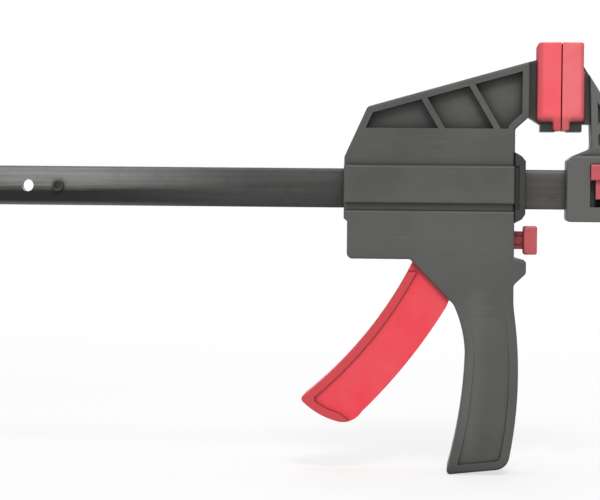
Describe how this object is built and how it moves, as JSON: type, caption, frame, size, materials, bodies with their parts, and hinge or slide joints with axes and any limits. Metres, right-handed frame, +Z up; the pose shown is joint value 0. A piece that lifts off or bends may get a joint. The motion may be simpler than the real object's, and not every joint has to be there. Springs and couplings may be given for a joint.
{
  "type": "quick release bar clamp",
  "caption": "One-handed bar clamp: a flat steel bar, a sliding pistol-grip jaw with trigger and release button, and a fixed jaw with lock button; soft pads on both jaws.",
  "frame": {"origin": "centre of the hanging hole at the bar's free end, on the bar's middle plane", "axes": "+X along the bar towards the jaws, +Z up towards the jaw arms, Y across the bar"},
  "size_m": [0.3354, 0.0318, 0.2276],
  "materials": {
    "bar_steel": "blackened, satin",
    "pin_steel": "plain",
    "spring_steel": "plain",
    "plate_steel": "plain",
    "body_plastic": "fine texture",
    "guide_plastic": "smooth",
    "red_plastic": "smooth",
    "pad_rubber": "matte",
    "screw_steel": "blackened"
  },
  "bodies": {
    "bar_frame": {"bar": "bar_steel", "end_stop_pin": "pin_steel", "fixed_jaw": "body_plastic", "fixed_jaw_pad": "pad_rubber", "jaw_lock_spring": "spring_steel"},
    "sliding_body": {"near_body_shell": "body_plastic", "far_body_shell": "body_plastic", "body_screws": "screw_steel", "front_guide": "guide_plastic", "moving_jaw_pad": "pad_rubber", "trigger_pivot_pin": "pin_steel", "drive_spring": "spring_steel", "brake_spring": "spring_steel"},
    "trigger_lever": {"trigger": "red_plastic"},
    "drive_plates": {"rear_drive_plate": "plate_steel", "front_drive_plate": "plate_steel"},
    "brake": {"brake_plate": "plate_steel"},
    "release": {"release_button": "red_plastic"},
    "jaw_lock": {"jaw_lock_button": "red_plastic", "jaw_lock_pin": "pin_steel"}
  },
  "joints": [
    {"name": "jaw_slide", "type": "slide", "parent": "bar_frame", "child": "sliding_body", "axis": [-1, 0, 0], "range_m": [0, 0.15]},
    {"name": "trigger_pull", "type": "hinge", "parent": "sliding_body", "child": "trigger_lever", "pos_m": [0.2246, 0, -0.0294], "axis": [0, -1, 0], "range_deg": [0, 22], "stiffness_Nm_per_rad": 0.6, "springref_deg": -17.19},
    {"name": "drive_slide", "type": "slide", "parent": "sliding_body", "child": "drive_plates", "axis": [-1, 0, 0], "range_m": [0, 0.0056], "deforming": ["drive_spring"]},
    {"name": "release_press", "type": "slide", "parent": "sliding_body", "child": "release", "axis": [-1, 0, 0], "range_m": [0, 0.0044], "stiffness_N_per_m": 500, "springref_m": -0.004},
    {"name": "brake_tilt", "type": "hinge", "parent": "sliding_body", "child": "brake", "pos_m": [0.24929, 0, 0.0155], "axis": [0, 1, 0], "range_deg": [0, 6.05], "deforming": ["brake_spring"]},
    {"name": "jaw_lock_press", "type": "slide", "parent": "bar_frame", "child": "jaw_lock", "axis": [0, 0, -1], "range_m": [0, 0.004], "stiffness_N_per_m": 600, "springref_m": -0.003, "deforming": ["jaw_lock_spring"]}
  ],
  "couplings": [
    {"joint": "drive_slide", "follows": "trigger_pull", "m_per_rad": 0.0136},
    {"joint": "brake_tilt", "follows": "release_press", "rad_per_m": 23.684}
  ]
}
